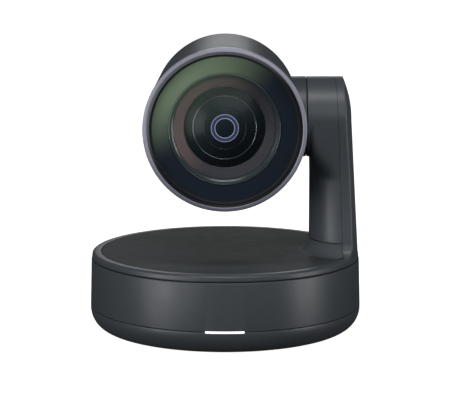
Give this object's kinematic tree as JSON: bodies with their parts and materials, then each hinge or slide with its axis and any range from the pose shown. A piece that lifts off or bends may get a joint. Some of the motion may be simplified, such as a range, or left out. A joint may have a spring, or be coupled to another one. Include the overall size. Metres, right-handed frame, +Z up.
{
  "type": "ptz camera",
  "caption": "Round desktop pan-tilt-zoom camera: drum-shaped lens head on a side arm that turns on a disc base, with a rear connector panel and a tripod socket.",
  "frame": {"origin": "on the pan axis at the face the foot ring stands on", "axes": "+Z up along the pan axis, -Y out of the front of the lens, +X towards the side arm"},
  "size_m": [0.152, 0.152, 0.1638],
  "materials": {
    "shell": "satin metallic grey paint on moulded plastic",
    "bezel": "satin lilac-grey anodised look",
    "glass_cover": "polished cover glass",
    "lens_glass": "coated optical glass",
    "black_print": "gloss black print behind glass",
    "baffle": "matt mauve-brown lens ring",
    "black_plastic": "matt black",
    "gear_plastic": "natural acetal",
    "steel": "plain sheet steel",
    "bearing_steel": "ground steel",
    "aluminium": "die-cast aluminium",
    "brass": "turned brass",
    "board": "green solder mask",
    "sensor": "image sensor under its glass lid",
    "rubber": "soft black rubber",
    "light": "milky light guide"
  },
  "bodies": {
    "base": {"base_bowl": "shell", "base_band": "shell", "foot_ring": "rubber", "tripod_insert": "brass", "ballast_plate": "steel", "light_bar": "light", "led_board": "board", "port_panel": "black_plastic", "usb_socket": "steel", "dc_jack": "black_plastic", "control_socket": "black_plastic", "security_plate": "steel", "main_board": "board", "heat_spreader": "aluminium", "base_chassis": "steel", "pan_motor": "steel", "pan_bearing_inner": "bearing_steel", "pan_bearing_balls": "bearing_steel", "base_screws": "steel", "button_switch": "black_plastic"},
    "button": {"pairing_button": "black_plastic"},
    "pinion": {"pan_pinion": "gear_plastic"},
    "turntable": {"yoke_shell": "shell", "disc_panel": "shell", "turntable_frame": "aluminium", "pan_ring_gear": "gear_plastic", "pan_bearing_outer": "bearing_steel", "column_cover": "shell", "root_collar": "shell", "arm_frame": "steel", "tilt_motor": "steel", "tilt_bearings": "bearing_steel", "tilt_belt": "rubber", "arm_cable": "black_plastic", "turntable_screws": "steel", "arm_screws": "steel"},
    "motor_pulley": {"tilt_motor_pulley": "aluminium"},
    "head": {"barrel_shell": "shell", "rear_cap": "shell", "hub_neck": "shell", "front_bezel": "bezel", "front_glass": "glass_cover", "window_mask": "black_print", "lens_baffle": "baffle", "head_frame": "aluminium", "tilt_shaft": "bearing_steel", "tilt_pulley": "aluminium", "lens_housing": "aluminium", "front_element": "lens_glass", "iris_unit": "black_plastic", "guide_rods": "bearing_steel", "lens_motors": "steel", "sensor_board": "board", "image_sensor": "sensor", "processor_board": "board", "heat_sink": "aluminium"},
    "zoom_carrier": {"zoom_group": "black_plastic"},
    "zoom_lead_screw": {"zoom_screw": "brass"},
    "focus_carrier": {"focus_group": "black_plastic"},
    "focus_lead_screw": {"focus_screw": "brass"}
  },
  "joints": [
    {"name": "pan", "type": "hinge", "parent": "base", "child": "turntable", "pos_m": [0, 0, 0.0386], "axis": [0, 0, 1], "range_deg": [-90, 90]},
    {"name": "tilt", "type": "hinge", "parent": "turntable", "child": "head", "pos_m": [0, 0, 0.12], "axis": [-1, 0, 0], "range_deg": [-90, 50]},
    {"name": "pan_motor_spin", "type": "hinge", "parent": "base", "child": "pinion", "pos_m": [-0.03445, 0, 0.035], "axis": [0, 0, 1], "range_deg": [-465, 465]},
    {"name": "tilt_motor_spin", "type": "hinge", "parent": "turntable", "child": "motor_pulley", "pos_m": [0.053, 0, 0.08], "axis": [-1, 0, 0], "range_deg": [-275, 155]},
    {"name": "zoom", "type": "slide", "parent": "head", "child": "zoom_carrier", "axis": [0, 1, 0], "range_m": [0, 0.012]},
    {"name": "zoom_screw_spin", "type": "hinge", "parent": "head", "child": "zoom_lead_screw", "pos_m": [0.01832, 0, 0.12667], "axis": [0, 1, 0], "range_deg": [-10, 2170]},
    {"name": "focus", "type": "slide", "parent": "head", "child": "focus_carrier", "axis": [0, 1, 0], "range_m": [0, 0.005]},
    {"name": "focus_screw_spin", "type": "hinge", "parent": "head", "child": "focus_lead_screw", "pos_m": [-0.01832, 0, 0.11333], "axis": [0, 1, 0], "range_deg": [-10, 910]},
    {"name": "pairing_press", "type": "slide", "parent": "base", "child": "button", "axis": [0, -1, 0], "range_m": [0, 0.0012], "stiffness_N_per_m": 400}
  ],
  "couplings": [
    {"joint": "pan_motor_spin", "follows": "pan", "ratio": -5.1429},
    {"joint": "tilt_motor_spin", "follows": "tilt", "ratio": 3},
    {"joint": "zoom_screw_spin", "follows": "zoom", "rad_per_m": 3141.6},
    {"joint": "focus_screw_spin", "follows": "focus", "rad_per_m": 3141.6}
  ]
}
